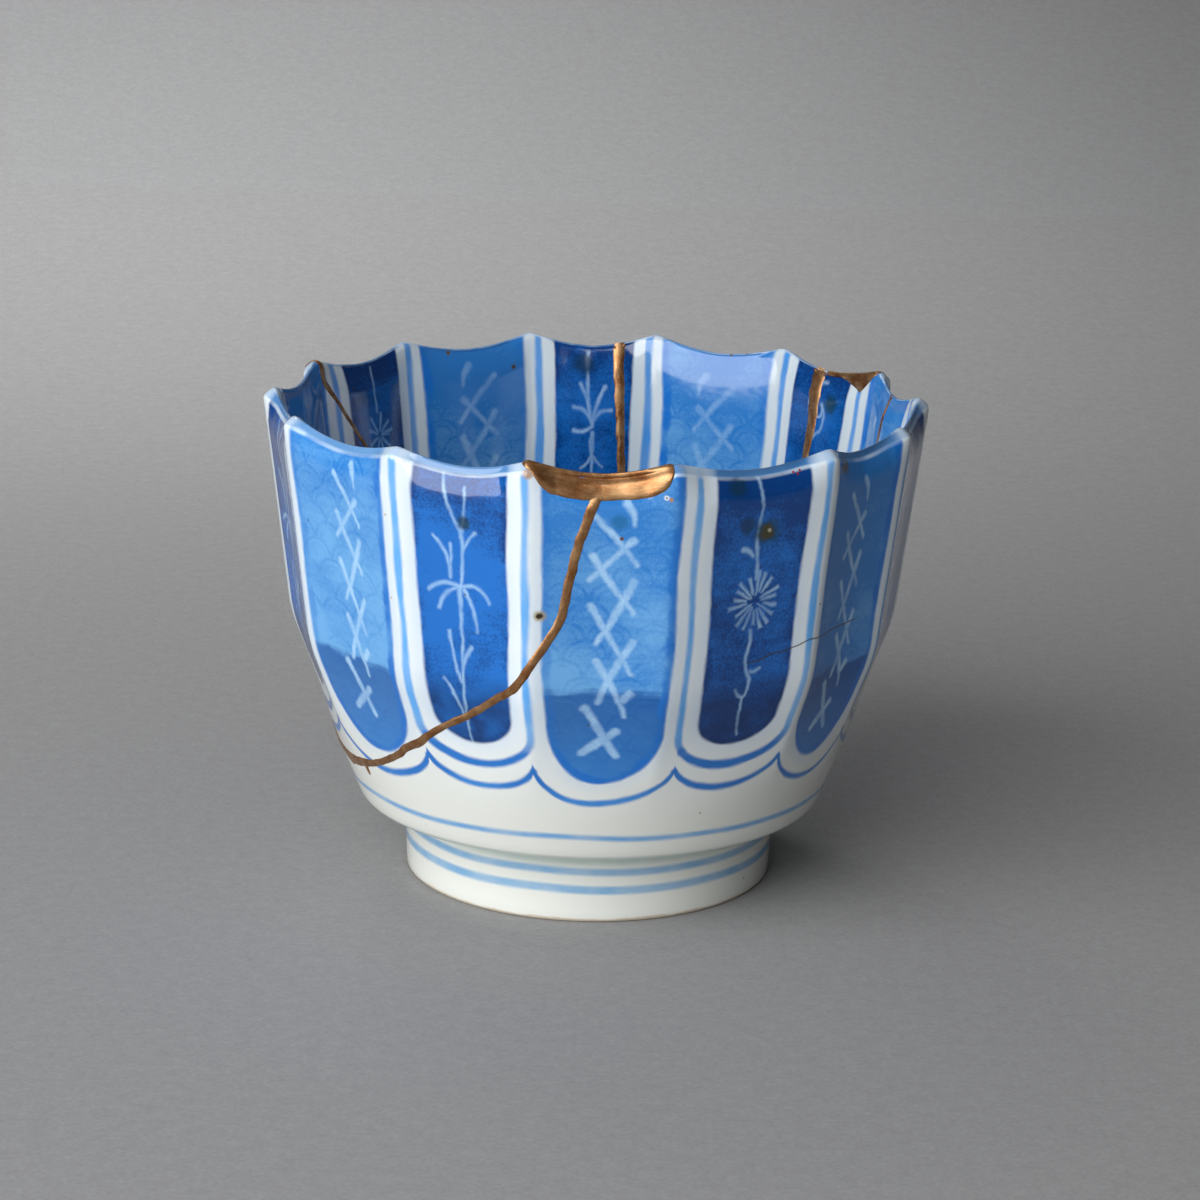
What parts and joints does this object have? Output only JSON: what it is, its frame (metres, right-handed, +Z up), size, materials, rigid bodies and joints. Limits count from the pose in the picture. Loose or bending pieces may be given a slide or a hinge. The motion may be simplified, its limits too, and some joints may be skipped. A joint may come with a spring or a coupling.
{
  "type": "kintsugi sake cup",
  "caption": "Small fluted porcelain drinking cup with a scalloped rim and turned foot ring, broken and mended with gold lacquer seams and rim fills; holds a drink and stands on its foot.",
  "frame": {"origin": "centre of the foot ring's underside, where the cup stands", "axes": "+Z up through the mouth; -Y towards the front, where the rim's larger gold fill is; +X to the right"},
  "size_m": [0.0808, 0.0794, 0.0602],
  "materials": {
    "porcelain": "white porcelain painted in two blues under a clear glossy glaze, bare on the foot's underside",
    "gold_lacquer": "bronze-gold powder on lacquer, satin and slightly brushed"
  },
  "bodies": {
    "root": {"cup_body": "porcelain", "front_rim_fill": "gold_lacquer", "rear_rim_fill": "gold_lacquer", "sherd_seam": "gold_lacquer", "back_seam": "gold_lacquer", "right_seam": "gold_lacquer", "short_seam": "gold_lacquer"}
  },
  "joints": []
}
